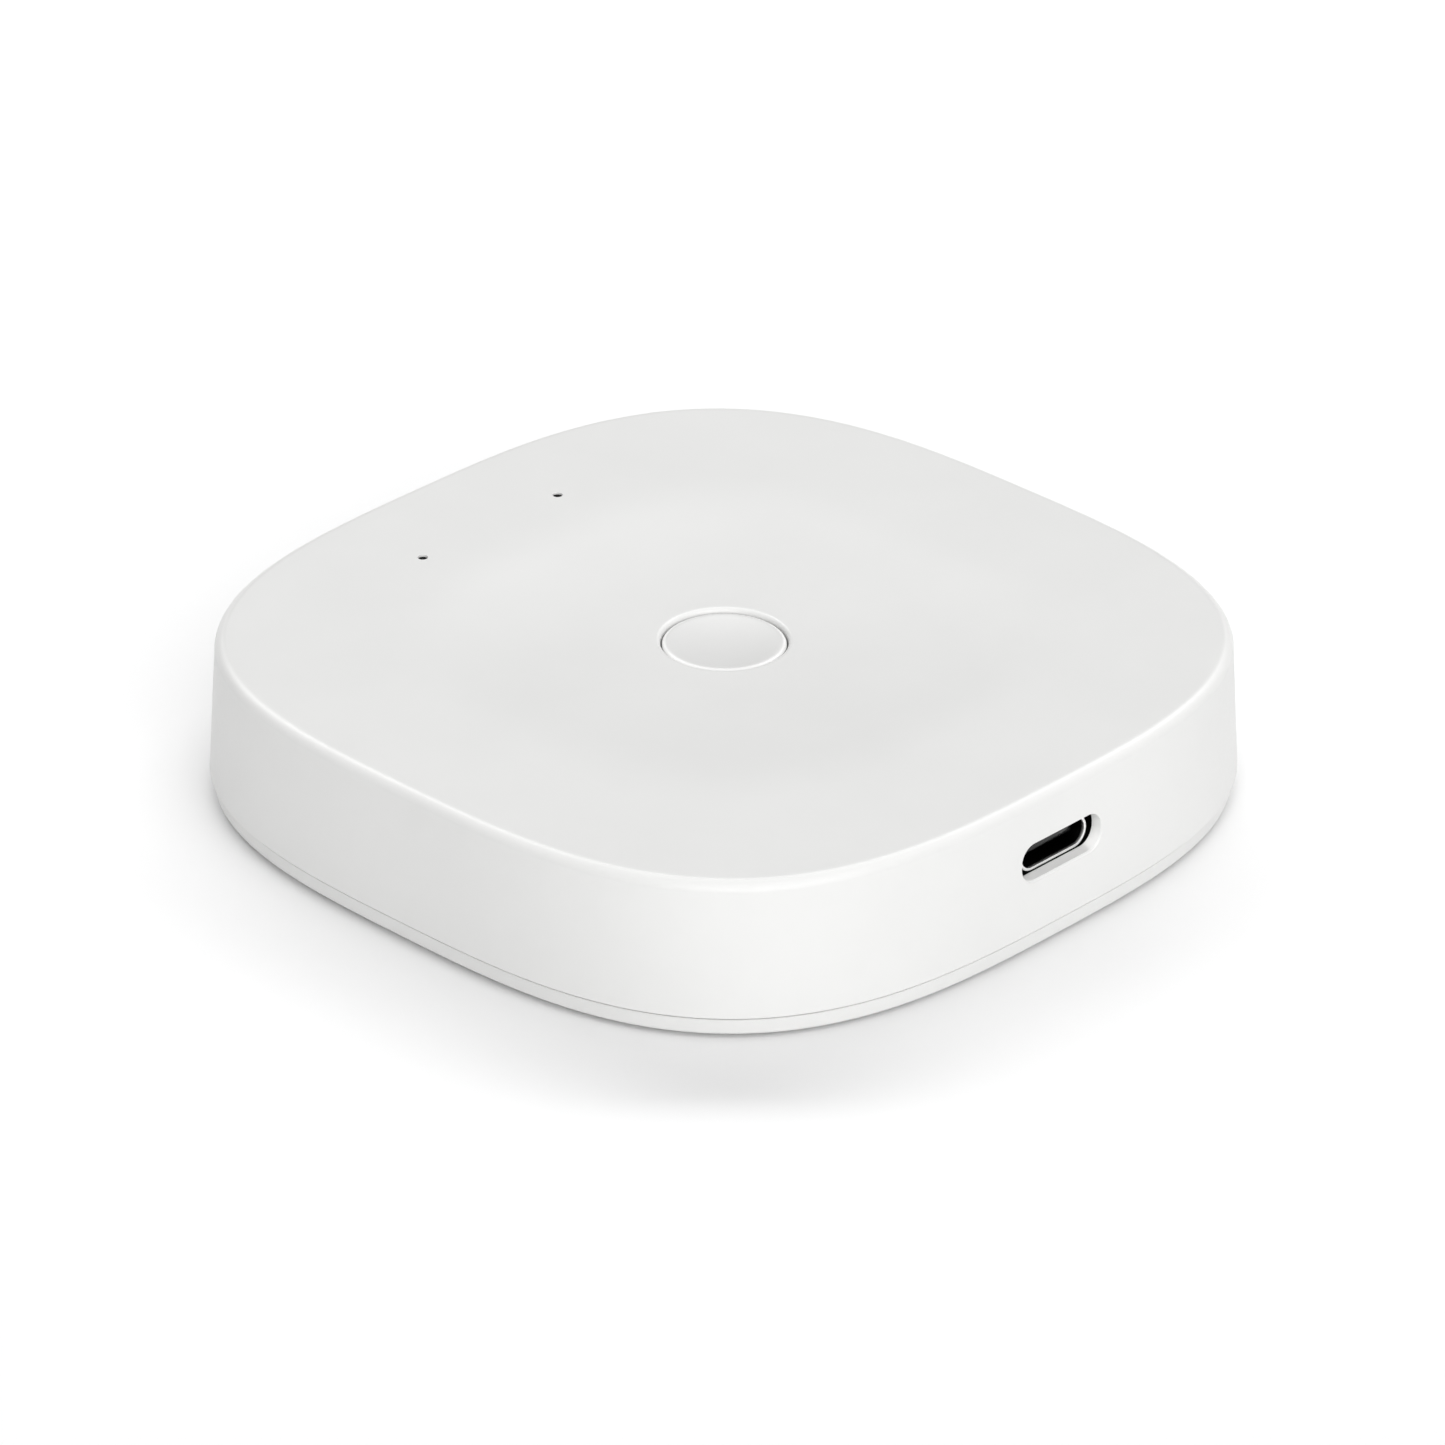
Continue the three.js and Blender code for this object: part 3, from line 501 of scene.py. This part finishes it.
def inlet_metal():
    """Bright nickel, with painted shade darkening its colour on the inside of the shell behind its mouth,
    where no light reaches, and slight stains.
    """
    surface = Surface("inlet_nickel", (0.9, 0.9, 0.89), 0.3, 1.0)
    bright_mouth = 0.12 * MM
    fade = 0.23 * MM
    sheet_middle = (SHELL_HEIGHT - SHELL_SHEET) / 2
    sheet_fade = 0.06 * MM
    x, y, z = surface.split(surface.place)
    mouth = INLET_FRONT + bright_mouth
    depth = surface.ranged(y, 0, 1, mouth, mouth + fade)
    past_flat = surface.math("SUBTRACT", surface.math("ABSOLUTE", x), SHELL_FLAT_HALF)
    across = surface.math("MAXIMUM", past_flat, 0)
    up = surface.math("SUBTRACT", z, INLET_Z)
    squares = [surface.math("POWER", part, 2) for part in (across, up)]
    reach = surface.math("SQRT", surface.math("ADD", *squares))
    inside = surface.ranged(reach, 1, 0, sheet_middle - sheet_fade, sheet_middle + sheet_fade)
    # Painted shade: the colour goes dark inside the shell behind its mouth, where no light reaches; the
    # noise below adds slight stains.
    dark = surface.math("MULTIPLY", depth, inside)
    shade_and_stains = surface.math("ADD", dark, surface.math("MULTIPLY", surface.noise(1.5 * MM, 4), 0.12))
    surface.colour_by(shade_and_stains, (0.97, 0.97, 0.96), (0.012, 0.012, 0.012), 0.08, 1.0)
    lines = surface.noise(LINE_SIZE, 3, ROLLED)
    surface.roughness_by(lines, 0.24, 0.4)
    surface.bump(lines, LINE_DEPTH)
    return surface.material


MATERIALS = {
    "case_plastic": white_plastic("case_white", (0.72, 0.72, 0.712), 0.35, EDGE_HIGHLIGHT_GAIN),
    "button_plastic": white_plastic("button_white", (0.69, 0.69, 0.683), 0.34, BUTTON_EDGE_HIGHLIGHT_GAIN),
    "label_film": moulded("label_film", (0.6, 0.6, 0.595), 0.42, 0.05 * MM, 0.0006 * MM, mottle=0.015),
    "foot_rubber": moulded("foot_rubber", (0.045, 0.045, 0.048), 0.75, 0.2 * MM, 0.012 * MM),
    "screw_steel": sheet_metal("screw_steel", (0.5, 0.51, 0.53), 0.34),
    "switch_plastic": moulded("switch_black", (0.02, 0.02, 0.022), 0.45),
    "sheet_steel": sheet_metal("tinned_sheet", (0.64, 0.64, 0.65), 0.3),
    "inlet_steel": inlet_metal(),
    "inlet_plastic": moulded("inlet_black", (0.006, 0.006, 0.0065), 0.22, 0.1 * MM, 0.001 * MM),
    "board_laminate": moulded("board_mask", (0.012, 0.014, 0.013), 0.35),
    "smoked_plastic": moulded("guide_smoke", (0.003, 0.003, 0.0035), 0.6, 0.1 * MM, 0.002 * MM, 0.08),
    "led_resin": moulded("led_resin", (0.8, 0.74, 0.5), 0.3),
    "chip_resin": moulded("chip_resin", (0.018, 0.019, 0.021), 0.5),
    "choke_ferrite": moulded("choke_ferrite", (0.05, 0.05, 0.055), 0.6, 0.25 * MM, 0.01 * MM),
    "antenna_metal": sheet_metal("antenna_strip", (0.7, 0.69, 0.66), 0.3),
    "can_aluminium": sheet_metal("drawn_can", (0.66, 0.67, 0.69), 0.3, (1, 1, 14)),
    "capacitor_ceramic": moulded("capacitor_ceramic", (0.35, 0.2, 0.1), 0.45),
}


def dress(obj, slot, body, *nodes):
    """Finishes a new piece: gives it the material of a slot, hangs it on the body it rides on, and hides the
    nodes it stands for.
    """
    obj.data.materials.clear()
    obj.data.materials.append(MATERIALS[slot])
    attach(obj, body)
    if nodes:
        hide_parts(*nodes)
    return obj


# ---- Camera, light and floor ----


CAMERA_AZIMUTH = 46.32  # degrees from -Y towards -X
CAMERA_ELEVATION = 28.98
CAMERA_DISTANCE = 804.75 * MM
CAMERA_ROLL = 0.276
CAMERA_AIM = (-0.1 * MM, 0.1 * MM, 6.3 * MM)
CAMERA_LENS = 214.6


def place_camera():
    """Sets up the camera that looks at the corner between the -X and -Y walls."""
    azimuth = math.radians(CAMERA_AZIMUTH)
    elevation = math.radians(CAMERA_ELEVATION)
    back = Vector((
        -math.cos(elevation) * math.sin(azimuth),
        -math.cos(elevation) * math.cos(azimuth),
        math.sin(elevation),
    ))
    place = Vector((0, 0, UNDERSIDE)) + back * CAMERA_DISTANCE
    aim = Vector(CAMERA_AIM)
    data = bpy.data.cameras.new("camera")
    data.lens = CAMERA_LENS
    data.sensor_width = 36
    data.clip_start = 0.05
    data.clip_end = 20
    camera = bpy.data.objects.new("camera", data)
    bpy.context.scene.collection.objects.link(camera)
    turn = (aim - place).to_track_quat("-Z", "Y").to_matrix().to_4x4()
    roll = Matrix.Rotation(math.radians(CAMERA_ROLL), 4, "Z")
    camera.matrix_world = Matrix.Translation(place) @ turn @ roll
    bpy.context.scene.camera = camera


def direction(azimuth, elevation):
    """The direction to a light, whose azimuth is counter-clockwise from +X, both in degrees."""
    a, e = math.radians(azimuth), math.radians(elevation)
    return Vector((math.cos(e) * math.cos(a), math.cos(e) * math.sin(a), math.sin(e)))


def add_sun(name, azimuth, elevation, strength, spread):
    """A far light whose spread, in degrees, softens its shadows."""
    data = bpy.data.lights.new(name, "SUN")
    data.energy = strength
    data.angle = math.radians(spread)
    sun = bpy.data.objects.new(name, data)
    bpy.context.scene.collection.objects.link(sun)
    sun.rotation_euler = direction(azimuth, elevation).to_track_quat("Z", "Y").to_euler()


def add_softbox(name, azimuth, elevation, distance, size, power):
    """A wide softbox that faces the hub."""
    data = bpy.data.lights.new(name, "AREA")
    data.shape = "RECTANGLE"
    data.size, data.size_y = size
    data.energy = power
    softbox = bpy.data.objects.new(name, data)
    bpy.context.scene.collection.objects.link(softbox)
    towards = direction(azimuth, elevation)
    softbox.location = towards * distance
    softbox.rotation_euler = towards.to_track_quat("Z", "Y").to_euler()


FLOOR_HALF = 6
FLOOR_ALBEDO = 0.94
WORLD_STRENGTH = 0.27


def make_stage():
    """A pale floor, an even world, one wide soft key light and a narrow softbox from behind."""
    bm = bmesh.new()
    bmesh.ops.create_grid(bm, x_segments=1, y_segments=1, size=FLOOR_HALF)
    mesh = bpy.data.meshes.new("floor")
    bm.to_mesh(mesh)
    bm.free()
    floor = new_object("floor", mesh)
    pale = Surface("floor_pale", (FLOOR_ALBEDO, FLOOR_ALBEDO, FLOOR_ALBEDO), 0.9)
    pale.bump(pale.noise(1 * MM, 2), 0.01 * MM)
    pale.set("Specular IOR Level", 0.1)
    floor.data.materials.append(pale.material)
    world = bpy.data.worlds.new("studio")
    world.use_nodes = True
    background = world.node_tree.nodes["Background"]
    background.inputs["Color"].default_value = (1, 1, 1, 1)
    background.inputs["Strength"].default_value = WORLD_STRENGTH
    bpy.context.scene.world = world
    add_sun("key", azimuth=239, elevation=32, strength=2.52, spread=70)
    add_softbox("back_softbox", azimuth=44, elevation=50, distance=1.5, size=(2.4, 0.4), power=17)
    bpy.context.scene.view_settings.view_transform = "Standard"


place_camera()
make_stage()


# ---- Upper casing ----


def dish_depth(half):
    """Depth of the dish: the slope grows evenly to the shoulder, then dies out to the rim."""
    bend = 2 * DISH_DEPTH / (DISH_SHOULDER * DISH_HALF)
    if half >= DISH_HALF:
        return 0
    if half <= DISH_SHOULDER:
        return DISH_DEPTH - bend * half**2 / 2
    return bend * DISH_SHOULDER * (DISH_HALF - half) ** 2 / (2 * (DISH_HALF - DISH_SHOULDER))


DISH_FLOOR = TOP - dish_depth(DISH_FLAT)
CEILING = TOP - TOP_PLATE


def spread(start, end, steps):
    """Evenly spaced values from start to end."""
    return [start + (end - start) * i / steps for i in range(steps + 1)]


def make_top():
    """The upper casing without its window and light holes, as one ring round the button hole."""
    edge = HALF - WALL_LEAN - TOP_EDGE_RADIUS
    lean_top = TOP - TOP_EDGE_RADIUS
    lip = 0.08 * MM
    # Narrow flats beside the rounded edges keep the shading of the wide ones even.
    beside_edge, beside_dish, beside_hole = 0.3 * MM, 0.4 * MM, 0.15 * MM
    outer = [(HALF - lip, SEAM), (HALF, SEAM + lip)]
    outer += [(HALF - WALL_LEAN * t, SEAM + (lean_top - SEAM) * t) for t in (0.04, 0.35, 0.7, 0.97)]
    outer += arc(edge, lean_top, TOP_EDGE_RADIUS, 0, 90, 14)
    outer += [(edge - beside_edge, TOP)]
    halves = [DISH_HALF + beside_dish] + spread(DISH_HALF, DISH_SHOULDER, 14)
    halves += spread(DISH_SHOULDER, DISH_FLAT, 14)[1:]
    outer += [(half, TOP - dish_depth(half)) for half in halves]
    flare = HOLE_RADIUS + HOLE_FILLET
    hole = [(flare + beside_hole, DISH_FLOOR)]
    hole += arc(flare, DISH_FLOOR - HOLE_FILLET, HOLE_FILLET, 90, 180, 10)
    hole += [(HOLE_RADIUS, DISH_FLOOR - TOP_PLATE)]
    inner_half = HALF - WALL
    chamfer = 1.2 * MM
    ceiling = spread(DISH_FLAT, DISH_HALF, 8)
    inner = [(half, TOP - TOP_PLATE - dish_depth(half)) for half in ceiling]
    inner += [
        (inner_half - WALL_LEAN - chamfer, CEILING),
        (inner_half - WALL_LEAN, CEILING - chamfer),
        (inner_half, SEAM),
    ]
    profile = [(half, z, 1) for half, z in outer] + [(r, z, 0) for r, z in hole]
    profile += [(half, z, 1) for half, z in inner]
    return turned("case_top", profile, AROUND, ring=True, sharp=CASE_SHARP)


def window_cutter():
    """The window in the wall, flared by a hair at the outer face, with the wall thinned behind it."""
    wall = -HALF + WALL_LEAN * (INLET_Z - SEAM) / (TOP - TOP_EDGE_RADIUS - SEAM)
    flare = 0.12 * MM
    past_wall = 3 * MM
    in_front = -0.2 * MM
    stations = [(past_wall, WINDOW_RELIEF), (WINDOW_WALL, WINDOW_RELIEF), (WINDOW_WALL, 0), (flare, 0)]
    stations += [(flare * 0.3, flare * 0.3), (0, flare), (in_front, flare * 2.6)]
    rings = []
    for depth, grow in stations:
        size = (WINDOW_WIDTH + 2 * grow, WINDOW_HEIGHT + 2 * grow)
        points = rounded_outline(*size, WINDOW_CORNER + grow, 12)
        rings.append(upright(points, wall + depth, INLET_Z))
    return skinned("window_cutter", rings)


def light_cutter(x):
    """The hole over one tip of the light guide, with a hair of a rounded edge."""
    edge = 0.04 * MM
    below = CEILING - 1 * MM
    profile = [
        (0, below),
        (LIGHT_HOLE_RADIUS, below),
        (LIGHT_HOLE_RADIUS, TOP - edge),
        (LIGHT_HOLE_RADIUS + edge * 0.3, TOP - edge * 0.3),
        (LIGHT_HOLE_RADIUS + edge, TOP),
        (LIGHT_HOLE_RADIUS + edge * 3, TOP + edge * 2),
        (0, TOP + edge * 2),
    ]
    return turned("light_cutter", profile, 32, (x, LIGHT_Y))


def tube(name, inner, outer, low, high, centre, steps=48):
    """A straight tube between two levels."""
    profile = [(inner, low), (outer, low), (outer, high), (inner, high)]
    return turned(name, profile, steps, centre, ring=True)


top = make_top()
cut(top, window_cutter())
for x in (-LIGHT_X, LIGHT_X):
    cut(top, light_cutter(x))
top_bosses = [tube("boss", *TOP_BOSS, BOSS_SPLIT, CEILING + PLATE_SINK, corner) for corner in CORNERS]
under_dish = DISH_FLOOR - TOP_PLATE
collar = tube("collar", *COLLAR, under_dish - COLLAR_HEIGHT, under_dish + PLATE_SINK, (0, 0), 96)
top = merged("case_top", [top, *top_bosses, collar])
even_shading(top)
dress(top, "case_plastic", "housing", "top_shell")


# ---- Base ----


def make_base():
    """The base plate with its rounded lower edge, its shoulder under the seam and its locating lip."""
    bottom = BASE_TOP_HALF - BASE_LEAN
    lip = HALF - WALL - LIP_CLEARANCE
    shoulder = SEAM - SEAM_GAP
    edge = 0.1 * MM
    profile = [(0, UNDERSIDE), (bottom - 3 * BASE_EDGE_RADIUS, UNDERSIDE)]
    profile += arc(bottom - BASE_EDGE_RADIUS, UNDERSIDE + BASE_EDGE_RADIUS, BASE_EDGE_RADIUS, -90, 0, 8)
    profile += arc(BASE_TOP_HALF - edge, shoulder - edge, edge, 0, 90, 3)
    profile += [
        (lip, shoulder),
        (lip, LIP_TOP),
        (lip - LIP_THICKNESS, LIP_TOP),
        (lip - LIP_THICKNESS, FLOOR_TOP),
        (0, FLOOR_TOP),
    ]
    return turned("case_base", [(half, z, 1) for half, z in profile], AROUND, sharp=CASE_SHARP)


def well_cutter(corner):
    """The well of a foot, with the start of the screw hole above it."""
    radius = FOOT_RADIUS + FOOT_CLEARANCE
    edge = 0.12 * MM
    below = UNDERSIDE - 1 * MM
    screw_hole = BASE_BOSS_WELL[0]
    hole_top = FOOT_WELL_TOP + 0.7 * MM
    profile = [
        (0, below),
        (radius + edge, below),
        (radius + edge, UNDERSIDE),
        (radius, UNDERSIDE + edge),
        (radius, FOOT_WELL_TOP),
        (screw_hole, FOOT_WELL_TOP),
        (screw_hole, hole_top),
        (0, hole_top),
    ]
    return turned("well_cutter", profile, 72, corner)


def recess_cutter():
    """The shallow recess that the label lies in."""
    clearance = 0.3 * MM
    edge = 0.06 * MM
    corner = 2.3 * MM
    side = LABEL_HIGH[0] - LABEL_LOW[0] + 2 * clearance
    rings = []
    for z, grow in ((LABEL_HIGH[2], 0), (UNDERSIDE + edge, 0), (UNDERSIDE - 1 * MM, edge)):
        points = rounded_outline(side + 2 * grow, side + 2 * grow, corner + grow, 10)
        rings.append(level(points, z))
    return skinned("recess_cutter", rings)


base = make_base()
for corner in CORNERS:
    cut(base, well_cutter(corner))
cut(base, recess_cutter())
boss_foot = FLOOR_TOP - FLOOR_SINK
base_bosses = [tube("boss", *BASE_BOSS_WELL, boss_foot, SCREW_SHOULDER, corner) for corner in CORNERS]
base_bosses += [tube("boss", *BASE_BOSS, SCREW_SHOULDER, BOSS_SPLIT, corner) for corner in CORNERS]
for name in FEET:
    low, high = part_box(f"board_screw_{name}")
    middle = ((low[0] + high[0]) / 2, (low[1] + high[1]) / 2)
    base_bosses.append(tube("post", *BOARD_POST, boss_foot, BOARD_LOW[2], middle))
base = merged("case_base", [base, *base_bosses])
even_shading(base)
dress(base, "case_plastic", "housing", "base_shell")


# ---- Button ----


def make_button():
    """The cap with its softly rounded rim and hollowed top, its stem, skirt, flange and key."""
    rim = BUTTON_RADIUS - BUTTON_RIM_WIDTH
    low, high = BUTTON_LOW[2], BUTTON_HIGH[2]
    flange_top = DISH_FLOOR - TOP_PLATE - FLANGE_GAP
    flange_bottom = flange_top - FLANGE_THICKNESS
    root = 0.3 * MM
    profile = [
        (0, low),
        (STEM_RADIUS, low),
        (STEM_RADIUS + STEM_DRAFT, flange_top - root),
        (STEM_RADIUS + STEM_DRAFT + root, flange_top),
        (SKIRT_RADIUS, flange_top),
        (SKIRT_RADIUS, flange_bottom),
        (FLANGE_RADIUS, flange_bottom),
        (FLANGE_RADIUS, flange_top),
        (BUTTON_RADIUS, flange_top),
    ]
    for out, up in arc(0, 0, 1, 0, 84, 12):
        profile.append((rim + BUTTON_RIM_WIDTH * out, high - BUTTON_RIM_DROP * (1 - up)))
    for t in (0.985, 0.94, 0.85, 0.7, 0.5, 0.25, 0):
        profile.append((rim * t, high - BUTTON_HOLLOW * (1 - t**2)))
    cap = turned("button", profile, 160, sharp=35)
    key_low = (-KEY_HALF_WIDTH, BUTTON_LOW[1], flange_bottom)
    key_high = (KEY_HALF_WIDTH, KEY_ROOT, flange_top)
    return merged("button", [cap, box("key", key_low, key_high, 0.05 * MM)])


dress(make_button(), "button_plastic", "button", "button_cap")


# ---- Feet ----


def make_foot(name):
    """A rubber foot with a rounded lower edge, over its own CAD node."""
    low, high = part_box(f"foot_{name}")
    centre = ((low[0] + high[0]) / 2, (low[1] + high[1]) / 2)
    edge = 0.35 * MM
    sole = FOOT_RADIUS - 1 * MM
    profile = [(0, low[2]), (sole, low[2])]
    profile += arc(FOOT_RADIUS - edge, low[2] + edge, edge, -90, 0, 6)
    profile += [(FOOT_RADIUS, high[2]), (0, high[2])]
    foot = turned(f"rubber_foot_{name}", profile, 72, centre)
    dress(foot, "foot_rubber", "housing", f"foot_{name}")


for name in FEET:
    make_foot(name)


# ---- USB-C receptacle ----


def make_receptacle_shell():
    """Folded sheet with a rolled front lip, and four legs into the board."""
    width = SHELL_HIGH[0] - SHELL_LOW[0]
    front, back = INLET_FRONT, SHELL_HIGH[1]
    lip = 0.1 * MM
    stations = [(back, 0), (front + lip, 0), (front + 0.3 * lip, 0.3 * lip), (front, lip)]
    outside = [(y, -inset) for y, inset in stations]
    inside = [(y, inset - SHELL_SHEET) for y, inset in reversed(stations)]
    rings = []
    for y, grow in outside + inside:
        outline = stadium(width + 2 * grow, SHELL_HEIGHT + 2 * grow, 14)
        rings.append(upright(outline, y, INLET_Z))
    body = skinned("shell", rings, loop=True)
    leg_top = INLET_Z - 0.2 * MM
    legs = []
    for back_by in LEG_OFFSETS:
        for side in (-1, 1):
            outer = side * width / 2
            inner = side * (width / 2 - LEG_SHEET)
            y = front + back_by
            low = (min(inner, outer), y - LEG_HALF_DEPTH, SHELL_LOW[2])
            high = (max(inner, outer), y + LEG_HALF_DEPTH, leg_top)
            legs.append(box("leg", low, high, 0.06 * MM))
    return merged("inlet_shell", [body, *legs])


dress(make_receptacle_shell(), "inlet_steel", "housing", "usb_c_shell")


def make_tongue():
    """The black tongue with softened edges, on a thicker root and the insulator block behind it."""
    half_width = TONGUE_WIDTH / 2
    root_half_width = half_width + 0.2 * MM
    root_half_height = 0.65 * MM
    root_length = 1.1 * MM
    block_length = 1.6 * MM
    tongue_overlap, root_overlap = 0.5 * MM, 0.3 * MM
    block_front = TONGUE_HIGH[1] - block_length
    low = (-half_width, TONGUE_LOW[1], INLET_Z - TONGUE_THICKNESS / 2)
    high = (half_width, block_front + tongue_overlap, INLET_Z + TONGUE_THICKNESS / 2)
    tongue = box("tongue", low, high, 0.1 * MM)
    outline = stadium(TONGUE_HIGH[0] - TONGUE_LOW[0], TONGUE_HIGH[2] - TONGUE_LOW[2], 12)
    stations = (block_front, TONGUE_HIGH[1])
    block = skinned("block", [upright(outline, y, INLET_Z) for y in stations])
    root_low = (-root_half_width, block_front - root_length, INLET_Z - root_half_height)
    root_high = (root_half_width, block_front + root_overlap, INLET_Z + root_half_height)
    root = box("root", root_low, root_high, 0.08 * MM)
    return merged("inlet_tongue", [tongue, block, root])


def make_contacts():
    """Twelve thin pads on each face of the tongue; the outer power pads reach further forward."""
    long_pads = (0, 3, 8, 11)
    long_start, short_start, end = 0.35 * MM, 0.6 * MM, 3.4 * MM
    pads = []
    front = TONGUE_LOW[1]
    for i in range(CONTACTS):
        x = (i - (CONTACTS - 1) / 2) * CONTACT_PITCH
        start = front + (long_start if i in long_pads else short_start)
        for side in (-1, 1):
            face = INLET_Z + side * TONGUE_THICKNESS / 2
            low = (x - CONTACT_HALF_WIDTH, start, face - CONTACT_PROUD)
            high = (x + CONTACT_HALF_WIDTH, front + end, face + CONTACT_PROUD)
            pads.append(box("pad", low, high, 0.006 * MM))
    return merged("inlet_contacts", pads)


dress(make_tongue(), "inlet_plastic", "housing", "usb_c_tongue")
contacts = dress(make_contacts(), "inlet_steel", "housing")
contacts.data.materials[0] = sheet_metal("contact_gold", (0.85, 0.62, 0.28), 0.25)


# ---- Materials of the parts kept from the frame ----
REPLACED = {"top_shell", "base_shell", "button_cap", "usb_c_shell", "usb_c_tongue"}
REPLACED |= {f"foot_{name}" for name in FEET}
for entry in frame["record"]["subparts"]:
    if entry["node"] in REPLACED:
        continue
    node = frame["nodes"][entry["node"]]
    node.data.materials.clear()
    node.data.materials.append(MATERIALS[entry["material_slot"]])
